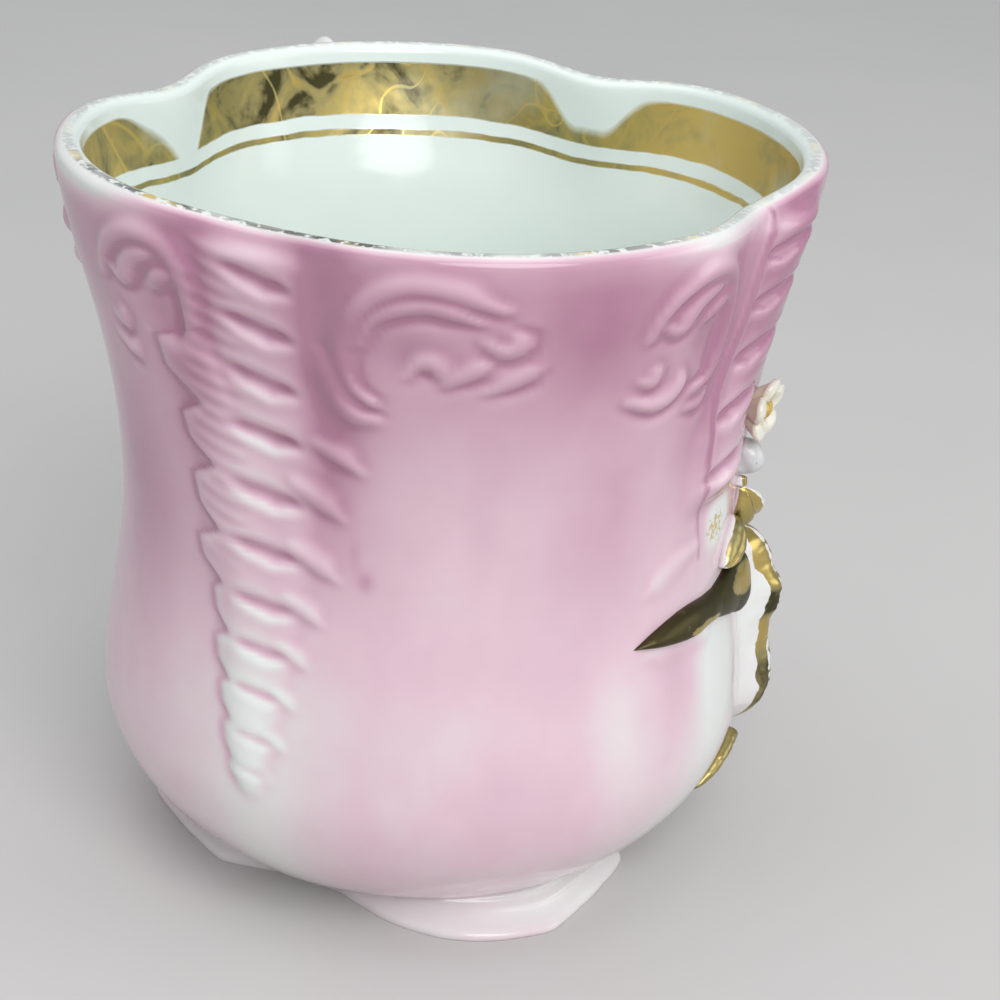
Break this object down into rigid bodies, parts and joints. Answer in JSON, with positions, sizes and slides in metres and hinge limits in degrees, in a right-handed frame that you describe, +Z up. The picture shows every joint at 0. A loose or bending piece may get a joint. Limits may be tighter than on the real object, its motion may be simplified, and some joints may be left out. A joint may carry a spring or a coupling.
{
  "type": "porcelain cup",
  "caption": "Lobed porcelain cup with a flared rim, moulded husk columns and scrolls, an ear handle with a thumb rest, and a gilt flowering branch stuck on one side.",
  "frame": {"origin": "the middle of the foot, on the surface that the cup stands on", "axes": "+Z up along the cup's axis, -Y towards the sprig, +X towards the handle"},
  "size_m": [0.1075, 0.0868, 0.086],
  "materials": {
    "pink_glaze": "glossy clear glaze over airbrushed pink that fades to white",
    "white_glaze": "glossy white glaze",
    "gilding": "bright gold over glaze, worn at the edges",
    "pollen_enamel": "stippled yellow enamel"
  },
  "bodies": {
    "root": {"cup_body": "pink_glaze", "foot_ring": "pink_glaze", "handle": "white_glaze", "main_branch": "gilding", "left_twig": "gilding", "right_twig": "gilding", "lower_twig": "gilding", "upper_leaf": "gilding", "hanging_leaf": "gilding", "inner_leaf": "gilding", "right_leaf": "gilding", "low_leaf": "gilding", "upper_blossom": "white_glaze", "upper_pollen": "pollen_enamel", "middle_blossom": "white_glaze", "middle_pollen": "pollen_enamel", "right_blossom": "white_glaze", "right_pollen": "pollen_enamel", "upper_bud": "white_glaze", "right_bud": "white_glaze", "tip_bud": "white_glaze", "upper_stalk": "gilding", "middle_stalk": "gilding", "right_stalk": "gilding", "bud_stalk": "gilding"}
  },
  "joints": []
}
